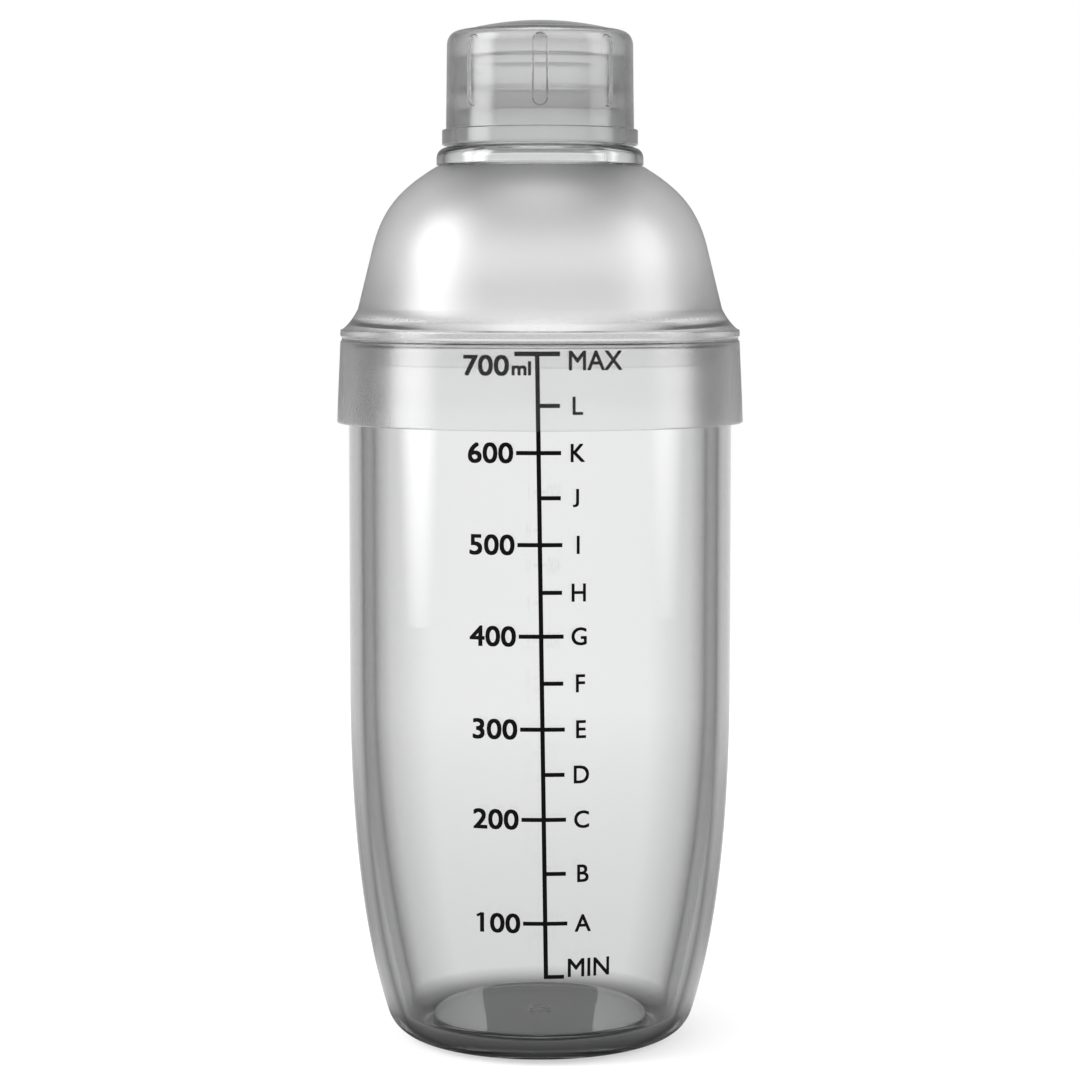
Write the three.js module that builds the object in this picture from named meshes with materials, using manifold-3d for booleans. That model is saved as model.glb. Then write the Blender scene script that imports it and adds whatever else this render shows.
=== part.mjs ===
// A push-fit cocktail shaker: clear cup, frosted dome lid, pouring spout, strainer, cap and three seals.
// Millimetres, +Z up. The origin is the centre of the foot, on the surface that the cup stands on.
import * as THREE from 'three';
import { mergeVertices } from 'three/addons/utils/BufferGeometryUtils.js';
import Module from 'manifold-3d';

// Shared
const SIDES = 48;
const SEAT_GAP = 0.3;
const EDGE = 0.35;

// Cup
const CUP_R = 43.1;
const CUP_WALL = 2.8;
const CUP_RIM_Z = 157;
const RIM_CHAMFER = 0.7;
const BELLY_Z = 80.5;
const BELLY_FLARE = THREE.MathUtils.degToRad(18.3);
const INNER_FLARE = THREE.MathUtils.degToRad(16);
const FOOT_R = 27.1;
const FOOT_CORNER = 8;
const FOOT_RECESS_R = 24.2;
const FOOT_RECESS_Z = 2;
const INNER_FOOT_R = 25.2;
const INNER_CORNER = 6;
const FLOOR_TROUGH_Z = 3.4;
const FLOOR_DISC_R = 24.6;
const FLOOR_DISC_Z = 5.3;
const GATE_R = 2.3;
const GATE_RISE = 0.4;

// Dome lid
const SKIRT_FOOT_Z = 139.5;
const SKIRT_FOOT_R = 45.75;
const SKIRT_TOP_Z = 160.3;
const SKIRT_TOP_R = 44.9;
const SKIRT_BORE_R = 43.45;
const SKIRT_LINE_Z = 158.3;
const SKIRT_LINE_DEPTH = 0.3;
const SKIRT_FILLET_PULL = [42.2, 162.2];
const RIM_GROOVE_Z = 158.6;
const PLUG_R = 39.8;
const PLUG_WALL = 1.7;
const PLUG_FOOT_Z = 152.5;
const DOME_WALL = 2;
const CONE_FOOT = [40.9, 165.1];
const CONE_TOP = [37.7, 178.1];
const SHOULDER_PULL = [34.9, 189.6];
const SHOULDER_FULLNESS = 0.75;
const CROWN_R = 23.4;
const CROWN_Z = 196.6;
const SLEEVE_BORE_R = 19.1;
const SLEEVE_WALL = 1.6;
const SLEEVE_FOOT_Z = 188;

// Pouring spout
const NECK_R = 18.7;
const NECK_BORE_R = 16.2;
const NECK_TOP_Z = 221.1;
const WAIST_R = 17.9;
const LIP_R = 18.6;
const LIP_FOOT_Z = 218.2;
const COLLAR_R = 23.2;
const COLLAR_SHOULDER_Z = 198.4;
const COLLAR_TOP_Z = 201.1;
const COLLAR_TOP_R = 19.8;
const PLUG_END_Z = 187;
const REBATE_R = 17.3;

// Strainer plate
const STRAINER_R = REBATE_R - SEAT_GAP;
const STRAINER_THICK = 1.8;
const STRAINER_HOLE_R = 1.8;
const STRAINER_RINGS = [{ radius: 0, count: 1 }, { radius: 5.5, count: 6 }, { radius: 11, count: 12 }];
const HOLE_SIDES = 12;

// Grooves on the spout, and the seal rings that lie in them
const SEAL_GROOVE_R = 17.4;
const SEAL_BULGE = 0.15;
const SPOUT_GROOVE = { foot: 190.5, top: 193.7 };
const CAP_GROOVE = { foot: 208.6, top: 212.9 };

// Cap
const CAP_FOOT_Z = COLLAR_TOP_Z + SEAT_GAP;
const CAP_TOP_Z = 229.1;
const CAP_FOOT_R = 21.06;
const CAP_TOP_R = 20.85;
const CAP_BORE_R = 19.1;
const CAP_CEILING_Z = 225.6;
const CAP_CORNER = 3.7;
const CAP_INNER_CORNER = 1.9;
const CAP_TOP_RISE = 2.2;
const FLANGE_R = 21.95;
const FLANGE_TOP_Z = 204.9;
const GRIPS = 8;
const GRIP_HALF_WIDTH = 1.95;
const GRIP_DEPTH = 0.75;
const GRIP_FOOT_Z = 209;
const GRIP_HEAD_Z = 225.4;
const GRIP_SIDES = 20;

const wasm = await Module();
wasm.setup();

// A solid with shared corners merged and collapsed triangles dropped, ready to be cut.
function closedSolid(geometry) {
  const bare = geometry.clone();
  bare.deleteAttribute('normal');
  bare.deleteAttribute('uv');
  const merged = mergeVertices(bare, 1e-4);
  const corners = merged.index.array;
  const kept = [];
  for (let i = 0; i < corners.length; i += 3) {
    const [a, b, c] = corners.subarray(i, i + 3);
    if (a !== b && b !== c && c !== a) {
      kept.push(a, b, c);
    }
  }
  return new wasm.Manifold(new wasm.Mesh({
    numProp: 3,
    vertProperties: new Float32Array(merged.attributes.position.array),
    triVerts: new Uint32Array(kept),
  }));
}

function solidGeometry(solid) {
  const mesh = solid.getMesh();
  const geometry = new THREE.BufferGeometry();
  geometry.setAttribute('position', new THREE.BufferAttribute(mesh.vertProperties, 3));
  geometry.setIndex(new THREE.BufferAttribute(mesh.triVerts, 1));
  geometry.computeVertexNormals();
  return geometry;
}

// An outline in radius and height, counter-clockwise, turned about +Z.
function turned(outline, curveSteps) {
  return new THREE.LatheGeometry(outline.getPoints(curveSteps), SIDES).rotateX(Math.PI / 2);
}

function piece(name, geometry, colour, roughness) {
  const material = new THREE.MeshStandardMaterial({ color: colour, roughness, metalness: 0 });
  const mesh = new THREE.Mesh(geometry, material);
  mesh.name = name;
  return mesh;
}

// Where a corner arc ends whose tangent leans out by flare, and the pull point above it at radius wall.
function cornerEnd(centreR, footZ, corner, flare, wall) {
  const r = centreR + corner * Math.cos(flare);
  const z = footZ + corner * (1 - Math.sin(flare));
  return { r, z, pullZ: z + (wall - r) / Math.tan(flare) };
}

// Clear cup: a thick foot with a raised middle, a belly that closes in below, and a plain rim.
function cupBody() {
  const bore = CUP_R - CUP_WALL;
  const outer = cornerEnd(FOOT_R, 0, FOOT_CORNER, BELLY_FLARE, CUP_R);
  const inner = cornerEnd(INNER_FOOT_R, FLOOR_TROUGH_Z, INNER_CORNER, INNER_FLARE, bore);
  const innerCentreZ = FLOOR_TROUGH_Z + INNER_CORNER;
  const outline = new THREE.Path();
  outline.moveTo(0, FOOT_RECESS_Z);
  outline.lineTo(FOOT_RECESS_R - EDGE, FOOT_RECESS_Z);
  outline.lineTo(FOOT_RECESS_R, 0);
  outline.lineTo(FOOT_R, 0);
  outline.absarc(FOOT_R, FOOT_CORNER, FOOT_CORNER, -Math.PI / 2, -BELLY_FLARE);
  outline.quadraticCurveTo(CUP_R, outer.pullZ, CUP_R, BELLY_Z);
  outline.lineTo(CUP_R, CUP_RIM_Z - RIM_CHAMFER);
  outline.lineTo(CUP_R - RIM_CHAMFER, CUP_RIM_Z);
  outline.lineTo(bore + RIM_CHAMFER, CUP_RIM_Z);
  outline.lineTo(bore, CUP_RIM_Z - RIM_CHAMFER);
  outline.lineTo(bore, BELLY_Z);
  outline.quadraticCurveTo(bore, inner.pullZ, inner.r, inner.z);
  outline.absarc(INNER_FOOT_R, innerCentreZ, INNER_CORNER, -INNER_FLARE, -Math.PI / 2, true);
  outline.lineTo(FLOOR_DISC_R, FLOOR_TROUGH_Z);
  outline.lineTo(FLOOR_DISC_R - EDGE, FLOOR_DISC_Z);
  outline.lineTo(GATE_R, FLOOR_DISC_Z);
  outline.lineTo(GATE_R - GATE_RISE, FLOOR_DISC_Z + GATE_RISE);
  outline.lineTo(0, FLOOR_DISC_Z + GATE_RISE);
  return piece('cup_body', turned(outline, 5), '#dfe3e5', 0.08);
}

// Frosted dome lid: a skirt outside the cup, a plug inside it, and a sleeve under the crown.
function domeLid() {
  const crown = [CROWN_R, CROWN_Z];
  const toPull = (from) => from.map((v, i) => v + SHOULDER_FULLNESS * (SHOULDER_PULL[i] - v));
  const inside = ([r, z]) => [r - DOME_WALL, z - DOME_WALL / 2];
  const sleeveR = SLEEVE_BORE_R + SLEEVE_WALL;
  const plugBore = PLUG_R - PLUG_WALL;
  const lineFloor = SKIRT_TOP_R - SKIRT_LINE_DEPTH;
  const outline = new THREE.Path();
  outline.moveTo(SKIRT_BORE_R, SKIRT_FOOT_Z);
  outline.lineTo(SKIRT_FOOT_R - EDGE, SKIRT_FOOT_Z);
  outline.lineTo(SKIRT_FOOT_R, SKIRT_FOOT_Z + EDGE);
  outline.lineTo(SKIRT_TOP_R, SKIRT_LINE_Z - 2 * SKIRT_LINE_DEPTH);
  outline.lineTo(lineFloor, SKIRT_LINE_Z - SKIRT_LINE_DEPTH);
  outline.lineTo(lineFloor, SKIRT_LINE_Z + SKIRT_LINE_DEPTH);
  outline.lineTo(SKIRT_TOP_R, SKIRT_LINE_Z + 2 * SKIRT_LINE_DEPTH);
  outline.lineTo(SKIRT_TOP_R, SKIRT_TOP_Z - EDGE);
  outline.lineTo(SKIRT_TOP_R - EDGE, SKIRT_TOP_Z);
  outline.quadraticCurveTo(...SKIRT_FILLET_PULL, ...CONE_FOOT);
  outline.lineTo(...CONE_TOP);
  outline.bezierCurveTo(...toPull(CONE_TOP), ...toPull(crown), ...crown);
  outline.lineTo(SLEEVE_BORE_R, CROWN_Z);
  outline.lineTo(SLEEVE_BORE_R, SLEEVE_FOOT_Z);
  outline.lineTo(sleeveR, SLEEVE_FOOT_Z);
  outline.lineTo(sleeveR, CROWN_Z - DOME_WALL);
  outline.quadraticCurveTo(...inside(SHOULDER_PULL), ...inside(CONE_TOP));
  outline.lineTo(...inside(CONE_FOOT));
  outline.lineTo(plugBore, RIM_GROOVE_Z + DOME_WALL);
  outline.lineTo(plugBore, PLUG_FOOT_Z);
  outline.lineTo(PLUG_R - EDGE, PLUG_FOOT_Z);
  outline.lineTo(PLUG_R, PLUG_FOOT_Z + 3 * EDGE);
  outline.lineTo(PLUG_R, RIM_GROOVE_Z);
  outline.lineTo(SKIRT_BORE_R, RIM_GROOVE_Z);
  outline.lineTo(SKIRT_BORE_R, SKIRT_FOOT_Z);
  return piece('dome_lid', turned(outline, 7), '#c9ccce', 0.4);
}

// Clear pouring spout: a plug with a rebate in its foot, a collar on the dome's crown, and a lipped neck.
function pourSpout() {
  const seatZ = CROWN_Z + SEAT_GAP;
  const rebateZ = PLUG_END_Z + STRAINER_THICK + SEAT_GAP;
  const lipHalf = (NECK_TOP_Z - LIP_FOOT_Z) / 2;
  const outline = new THREE.Path();
  outline.moveTo(REBATE_R, PLUG_END_Z);
  outline.lineTo(NECK_R - EDGE, PLUG_END_Z);
  outline.lineTo(NECK_R, PLUG_END_Z + EDGE);
  outline.lineTo(NECK_R, SPOUT_GROOVE.foot);
  outline.lineTo(SEAL_GROOVE_R, SPOUT_GROOVE.foot);
  outline.lineTo(SEAL_GROOVE_R, SPOUT_GROOVE.top);
  outline.lineTo(NECK_R, SPOUT_GROOVE.top);
  outline.lineTo(NECK_R, seatZ);
  outline.lineTo(COLLAR_R, seatZ);
  outline.lineTo(COLLAR_R, COLLAR_SHOULDER_Z);
  outline.quadraticCurveTo(COLLAR_R, COLLAR_TOP_Z, COLLAR_TOP_R, COLLAR_TOP_Z);
  outline.lineTo(NECK_R, COLLAR_TOP_Z);
  outline.lineTo(NECK_R, CAP_GROOVE.foot);
  outline.lineTo(SEAL_GROOVE_R, CAP_GROOVE.foot);
  outline.lineTo(SEAL_GROOVE_R, CAP_GROOVE.top);
  outline.lineTo(NECK_R, CAP_GROOVE.top);
  outline.lineTo(WAIST_R, CAP_GROOVE.top + 3 * EDGE);
  outline.lineTo(WAIST_R, LIP_FOOT_Z - EDGE);
  outline.lineTo(LIP_R, LIP_FOOT_Z + EDGE);
  outline.quadraticCurveTo(LIP_R, NECK_TOP_Z, LIP_R - lipHalf, NECK_TOP_Z);
  outline.lineTo(NECK_BORE_R + EDGE, NECK_TOP_Z);
  outline.lineTo(NECK_BORE_R, NECK_TOP_Z - 2 * EDGE);
  outline.lineTo(NECK_BORE_R, rebateZ);
  outline.lineTo(REBATE_R, rebateZ);
  outline.lineTo(REBATE_R, PLUG_END_Z);
  return piece('pour_spout', turned(outline, 3), '#e3e6e8', 0.08);
}

// Clear perforated plate that holds the ice back, pressed up into the rebate in the plug's foot.
function strainerPlate() {
  const topZ = PLUG_END_Z + STRAINER_THICK;
  const outline = new THREE.Path();
  outline.moveTo(0, PLUG_END_Z);
  outline.lineTo(STRAINER_R, PLUG_END_Z);
  outline.lineTo(STRAINER_R, topZ - EDGE);
  outline.lineTo(STRAINER_R - EDGE, topZ);
  outline.lineTo(0, topZ);
  let solid = closedSolid(turned(outline, 1));
  const hole = new THREE.CylinderGeometry(STRAINER_HOLE_R, STRAINER_HOLE_R, 4 * STRAINER_THICK, HOLE_SIDES);
  hole.rotateX(Math.PI / 2);
  for (const { radius, count } of STRAINER_RINGS) {
    for (let k = 0; k < count; k += 1) {
      const turn = (2 * Math.PI * k) / count;
      const cutter = hole.clone().translate(radius * Math.cos(turn), radius * Math.sin(turn), PLUG_END_Z);
      solid = solid.subtract(closedSolid(cutter));
    }
  }
  return piece('strainer_plate', solidGeometry(solid), '#e3e6e8', 0.08);
}

// Silicone ring that lies in one of the spout's grooves, standing a hair proud of it.
function grooveSeal(name, groove) {
  const inner = SEAL_GROOVE_R + SEAT_GAP;
  const outer = NECK_R + SEAL_BULGE;
  const foot = groove.foot + SEAT_GAP;
  const top = groove.top - SEAT_GAP;
  const round = (top - foot) / 4;
  const outline = new THREE.Path();
  outline.moveTo(inner, foot);
  outline.lineTo(outer - round / 2, foot);
  outline.lineTo(outer, foot + round);
  outline.lineTo(outer, top - round);
  outline.lineTo(outer - round / 2, top);
  outline.lineTo(inner, top);
  outline.lineTo(inner, foot);
  return piece(name, turned(outline, 1), '#e9e9e6', 0.5);
}

// Flat silicone ring in the lid's rim groove, between the groove's root and the cup's rim.
function lidSeal() {
  const inner = PLUG_R + SEAT_GAP;
  const outer = SKIRT_BORE_R - SEAT_GAP;
  const foot = CUP_RIM_Z + SEAT_GAP;
  const top = RIM_GROOVE_Z - SEAT_GAP;
  const outline = new THREE.Path();
  outline.moveTo(inner, foot);
  outline.lineTo(outer - EDGE, foot);
  outline.lineTo(outer, foot + EDGE);
  outline.lineTo(outer, top);
  outline.lineTo(inner, top);
  outline.lineTo(inner, foot);
  return piece('lid_seal', turned(outline, 1), '#e9e9e6', 0.5);
}

// Clear cap: a domed top with a round edge, a flange at the mouth and long grip recesses round it.
function pourCap() {
  const edgeZ = CAP_TOP_Z - CAP_TOP_RISE;
  const edgeR = CAP_TOP_R - CAP_CORNER;
  const outline = new THREE.Path();
  outline.moveTo(0, CAP_CEILING_Z);
  outline.lineTo(CAP_BORE_R - CAP_INNER_CORNER, CAP_CEILING_Z);
  outline.lineTo(CAP_BORE_R, CAP_CEILING_Z - CAP_INNER_CORNER);
  outline.lineTo(CAP_BORE_R, CAP_FOOT_Z + 2 * EDGE);
  outline.lineTo(CAP_BORE_R + EDGE, CAP_FOOT_Z);
  outline.lineTo(FLANGE_R - EDGE, CAP_FOOT_Z);
  outline.lineTo(FLANGE_R, CAP_FOOT_Z + EDGE);
  outline.lineTo(FLANGE_R, FLANGE_TOP_Z - EDGE);
  outline.lineTo(FLANGE_R - EDGE, FLANGE_TOP_Z);
  outline.lineTo(CAP_FOOT_R, FLANGE_TOP_Z);
  outline.lineTo(CAP_TOP_R, edgeZ - CAP_CORNER);
  outline.quadraticCurveTo(CAP_TOP_R, edgeZ, edgeR, edgeZ);
  outline.quadraticCurveTo(edgeR / 2, CAP_TOP_Z, 0, CAP_TOP_Z);
  let solid = closedSolid(turned(outline, 4));
  const cutterR = (GRIP_HALF_WIDTH ** 2 + GRIP_DEPTH ** 2) / (2 * GRIP_DEPTH);
  const cutterLength = GRIP_HEAD_Z - GRIP_FOOT_Z - 2 * GRIP_HALF_WIDTH;
  const cutter = new THREE.CapsuleGeometry(cutterR, cutterLength, 4, GRIP_SIDES);
  cutter.rotateX(Math.PI / 2);
  cutter.translate(0, CAP_TOP_R + cutterR - GRIP_DEPTH, (GRIP_FOOT_Z + GRIP_HEAD_Z) / 2);
  for (let k = 0; k < GRIPS; k += 1) {
    const grip = cutter.clone().rotateZ((2 * Math.PI * k) / GRIPS);
    solid = solid.subtract(closedSolid(grip));
  }
  return piece('pour_cap', solidGeometry(solid), '#dfe3e5', 0.08);
}

const shaker = new THREE.Group();
shaker.add(cupBody());
shaker.add(lidSeal());
shaker.add(domeLid());
shaker.add(grooveSeal('spout_seal', SPOUT_GROOVE));
shaker.add(pourSpout());
shaker.add(strainerPlate());
shaker.add(grooveSeal('cap_seal', CAP_GROOVE));
shaker.add(pourCap());

export default shaker;
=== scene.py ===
# Looks of a clear push-fit cocktail shaker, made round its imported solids. Blender units are metres.
import math

import bmesh
import bpy
import numpy as np
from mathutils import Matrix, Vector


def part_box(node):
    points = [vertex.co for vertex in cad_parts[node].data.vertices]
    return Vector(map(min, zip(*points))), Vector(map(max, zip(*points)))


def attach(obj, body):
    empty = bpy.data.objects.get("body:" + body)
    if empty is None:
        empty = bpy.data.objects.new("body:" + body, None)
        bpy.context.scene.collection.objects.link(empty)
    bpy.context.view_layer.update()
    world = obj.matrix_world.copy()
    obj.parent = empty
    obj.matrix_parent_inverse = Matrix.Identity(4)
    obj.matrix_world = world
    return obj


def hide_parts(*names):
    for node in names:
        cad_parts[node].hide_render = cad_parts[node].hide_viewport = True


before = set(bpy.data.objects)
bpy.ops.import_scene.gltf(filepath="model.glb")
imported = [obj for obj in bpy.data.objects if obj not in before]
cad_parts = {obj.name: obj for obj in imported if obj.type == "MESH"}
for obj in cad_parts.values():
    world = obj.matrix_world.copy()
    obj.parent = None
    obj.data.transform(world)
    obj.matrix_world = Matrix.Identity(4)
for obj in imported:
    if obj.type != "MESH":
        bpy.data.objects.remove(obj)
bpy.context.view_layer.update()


# Clear cup
# One injection moulding in clear polycarbonate, polished in the tool: an even wall, a belly that closes in
# on a long curve, and a thick foot with a raised disc inside it. It stands free and carries the lid.
MM = 0.001
CUP_TURNS = 256
cup_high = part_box("cup_body")[1]
CUP_R = cup_high.x / MM
CUP_RIM_Z = cup_high.z / MM
CUP_WALL = 2.8
CUP_BORE_R = CUP_R - CUP_WALL
CUP_RIM_ROUND = 0.9
BELLY_Z = 80.5
BELLY_FLARE = 18.3
INNER_FLARE = 16
FOOT_R = 27.1
FOOT_CORNER = 8
FOOT_RECESS_R = 24.2
FOOT_RECESS_Z = 2
FOOT_RECESS_ROUND = 0.8
INNER_FOOT_R = 25.2
INNER_CORNER = 6
FLOOR_TROUGH_Z = 3.4
FLOOR_DISC_R = 24.6
FLOOR_DISC_Z = 5.3
GATE_R = 2.5
GATE_RING = 0.7
GATE_RISE = 0.6
EDGE_ROUND = 0.35
# The cup's reflections are painted dimmer near its foot: 0.3 of full strength up to 20 mm, full from 80 mm.
CUP_DIMMED_REFLECTION_FROM = (20, 0.3)
CUP_DIMMED_REFLECTION_TO = (80, 1.0)
POLYCARBONATE_IOR = 1.585
POLYCARBONATE_CAST = "#cbcdce"
CLEAR_ABSORPTION = 48
# Painted shade by slant on the clear plastic, as slant and grey level: darkest just inside the outline.
CLEAR_EDGE_SHADE = ((0.2, 0.98), (0.46, 0.64), (0.63, 0.04), (0.71, 0.22))
FLOW_WAVE = 16


def arc(centre_r, centre_z, radius, start, end, steps=24):
    """Points on an arc of an outline, between two angles in degrees from the radius axis."""
    turn = np.radians(np.linspace(start, end, steps))
    return list(zip(centre_r + radius * np.cos(turn), centre_z + radius * np.sin(turn)))


def bezier(pulls, steps=24):
    """Points on the curve from the first of three or four points to the last, drawn by those between."""
    order = len(pulls) - 1
    t = np.linspace(0, 1, steps)[:, None]
    share = [math.comb(order, k) * t**k * (1 - t) ** (order - k) for k in range(order + 1)]
    return [tuple(point) for point in sum(s * np.array(p) for s, p in zip(share, pulls))]


def soften(corners, steps=6, support=0.3, most=0.36):
    """Rounds each corner that has a third number, its radius, by at most a share of the sides beside it, and
    holds those sides flat."""
    outline = []
    for k, (r, z, *rounding) in enumerate(corners):
        if not rounding:
            outline.append((r, z))
            continue
        here = np.array((r, z))
        ends = []
        for other in (corners[k - 1], corners[(k + 1) % len(corners)]):
            side = np.array(other[:2]) - here
            room = np.linalg.norm(side)
            reach = min(rounding[0], most * room)
            ends.append([here + side / room * reach * (1 + held) for held in (0, support)])
        outline += [tuple(ends[0][1]), *bezier([ends[0][0], here, ends[1][0]], steps), tuple(ends[1][1])]
    return outline


def turned(name, outline, turns):
    """A closed mesh from an outline of (radius, height) in mm, run counter-clockwise and turned about +Z."""
    on_axis = outline[0][0] == 0
    rings = np.array(outline[1:-1] if on_axis else outline)
    count = len(turns)
    points = [rings[:, :1] * np.cos(turns), rings[:, :1] * np.sin(turns), rings[:, 1:] * np.ones(count)]
    points = np.stack(points, -1).reshape(-1, 3) * MM
    faces = []
    for low in range(len(rings) - 1 if on_axis else len(rings)):
        high = (low + 1) % len(rings)
        for k in range(count):
            near = (k + 1) % count
            faces.append((low * count + k, low * count + near, high * count + near, high * count + k))
    if on_axis:
        faces.append(range(count - 1, -1, -1))
        faces.append(range((len(rings) - 1) * count, len(rings) * count))
    mesh = bpy.data.meshes.new(name)
    mesh.from_pydata(points.tolist(), [], [list(face) for face in faces])
    return mesh


def even_turns(count):
    """The angles of so many even steps round the axis."""
    return np.linspace(0, 2 * math.pi, count, endpoint=False)


def linear(hex_colour):
    """An sRGB hex colour as linear red, green, blue and alpha."""
    parts = [int(hex_colour[k : k + 2], 16) / 255 for k in (1, 3, 5)]
    return (*[c / 12.92 if c <= 0.04045 else ((c + 0.055) / 1.055) ** 2.4 for c in parts], 1)


def add(tree, kind, sockets=None, **settings):
    """Adds a node with its settings, and sets or links each input that sockets names or numbers."""
    node = tree.nodes.new(kind)
    for name, value in settings.items():
        setattr(node, name, value)
    for socket, value in (sockets or {}).items():
        if isinstance(value, bpy.types.NodeSocket):
            tree.links.new(value, node.inputs[socket])
        else:
            node.inputs[socket].default_value = value
    return node


def blank_material(name):
    """A new material and its empty node tree."""
    material = bpy.data.materials.new(name)
    material.use_nodes = True
    material.node_tree.nodes.clear()
    return material, material.node_tree


def placed(mesh, material, sharp=32):
    """A smooth-shaded object at the origin, with its edges sharper than so many degrees left crisp."""
    mesh.materials.clear()
    mesh.materials.append(material)
    mesh.shade_smooth()
    mesh.set_sharp_from_angle(angle=math.radians(sharp))
    piece = bpy.data.objects.new(mesh.name, mesh)
    bpy.context.scene.collection.objects.link(piece)
    return piece


def painted_edge_shade(tree, levels):
    """Painted shade on a clear wall by its slant, darker towards its outline: 0 where light meets it
    squarely, 1 where light grazes it.
    """
    slant = add(tree, "ShaderNodeLayerWeight", {"Blend": 0.5}).outputs["Facing"]
    grey = add(tree, "ShaderNodeValToRGB", {"Fac": slant})
    stops = grey.color_ramp.elements
    stops[0].position, stops[1].position = levels[0][0], levels[-1][0]
    for place, _ in levels[1:-1]:
        stops.new(place)
    for stop, (_, level) in zip(stops, levels):
        stop.color = (level, level, level, 1)
    return grey.outputs[0]


def clear_polycarbonate(name, dimmed_reflection_from, dimmed_reflection_to):
    """Polished clear polycarbonate: a high gloss, a strong bend of light at the edges and a faint grey cast
    in thick places. Painted shade by slant makes it darkest just inside the bore's outline, and lighter
    again where light runs round in the wall. Its reflections are painted from one strength to another
    between two heights in mm, and dimmed by the same painted shade. Slow flow waves from the moulding make
    its reflections swim a little."""
    wave_height = 0.01 * MM
    material, tree = blank_material(name)
    place = add(tree, "ShaderNodeTexCoord").outputs["Object"]
    flow = add(tree, "ShaderNodeTexNoise", {"Vector": place, "Scale": 1 / (FLOW_WAVE * MM), "Detail": 2.0})
    haze = add(tree, "ShaderNodeMapRange", {"Value": flow.outputs[0], 3: 0.004, 4: 0.02})
    bump = add(tree, "ShaderNodeBump", {"Height": flow.outputs[0], "Distance": wave_height, "Strength": 1.0})
    # Painted shade by slant, on the base colour and on the reflections.
    edge_shade = painted_edge_shade(tree, CLEAR_EDGE_SHADE)
    height = add(tree, "ShaderNodeSeparateXYZ", {0: place}).outputs["Z"]
    # Painted dimming of the reflections by height.
    gloss = add(tree, "ShaderNodeMapRange", {
        "Value": height, 1: dimmed_reflection_from[0] * MM, 2: dimmed_reflection_to[0] * MM, 3: dimmed_reflection_from[1], 4: dimmed_reflection_to[1]})
    reflection_dimming = add(tree, "ShaderNodeVectorMath", {0: edge_shade, 1: gloss.outputs[0]}, operation="MULTIPLY")
    surface = add(tree, "ShaderNodeBsdfPrincipled", {
        "Base Color": edge_shade, "Specular Tint": reflection_dimming.outputs[0], "Roughness": haze.outputs[0],
        "IOR": POLYCARBONATE_IOR, "Transmission Weight": 1.0, "Normal": bump.outputs[0]})
    depth = add(tree, "ShaderNodeVolumeAbsorption", {
        "Color": linear(POLYCARBONATE_CAST), "Density": CLEAR_ABSORPTION})
    add(tree, "ShaderNodeOutputMaterial", {"Surface": surface.outputs[0], "Volume": depth.outputs[0]})
    return material


def corner_end(centre_r, foot_z, corner, flare, wall):
    """The pull point at radius wall for the belly above a corner arc that ends leaning out by flare."""
    r = centre_r + corner * math.cos(math.radians(flare))
    z = foot_z + corner * (1 - math.sin(math.radians(flare)))
    return wall, z + (wall - r) / math.tan(math.radians(flare))


outer_corner = arc(FOOT_R, FOOT_CORNER, FOOT_CORNER, -90, -BELLY_FLARE)
inner_corner = arc(INNER_FOOT_R, FLOOR_TROUGH_Z + INNER_CORNER, INNER_CORNER, -INNER_FLARE, -90)
outer_pull = corner_end(FOOT_R, 0, FOOT_CORNER, BELLY_FLARE, CUP_R)
inner_pull = corner_end(INNER_FOOT_R, FLOOR_TROUGH_Z, INNER_CORNER, INNER_FLARE, CUP_BORE_R)
cup_outside = [*outer_corner, *bezier([outer_corner[-1], outer_pull, (CUP_R, BELLY_Z)], steps=48)[1:]]
cup_inside = [*bezier([(CUP_BORE_R, BELLY_Z), inner_pull, inner_corner[0]], steps=48), *inner_corner[1:]]
cup_outline = soften([
    (0, FOOT_RECESS_Z),
    (FOOT_RECESS_R - EDGE_ROUND, FOOT_RECESS_Z, FOOT_RECESS_ROUND),
    (FOOT_RECESS_R, 0, EDGE_ROUND),
    *cup_outside,
    (CUP_R, CUP_RIM_Z, CUP_RIM_ROUND),
    (CUP_BORE_R, CUP_RIM_Z, CUP_RIM_ROUND),
    *cup_inside,
    (FLOOR_DISC_R, FLOOR_TROUGH_Z, EDGE_ROUND),
    (FLOOR_DISC_R - EDGE_ROUND, FLOOR_DISC_Z, EDGE_ROUND),
    (GATE_R, FLOOR_DISC_Z, GATE_RISE / 2),
    (GATE_R, FLOOR_DISC_Z + GATE_RISE, GATE_RISE / 2),
    (GATE_R - GATE_RING, FLOOR_DISC_Z + GATE_RISE, GATE_RISE / 2),
    (GATE_R - GATE_RING, FLOOR_DISC_Z, GATE_RISE / 2),
    (0, FLOOR_DISC_Z),
])
cup_plastic = clear_polycarbonate("clear_polycarbonate_cup", CUP_DIMMED_REFLECTION_FROM, CUP_DIMMED_REFLECTION_TO)
cup = placed(turned("clear_cup", cup_outline, even_turns(CUP_TURNS)), cup_plastic)
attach(cup, "cup")
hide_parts("cup_body")


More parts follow.
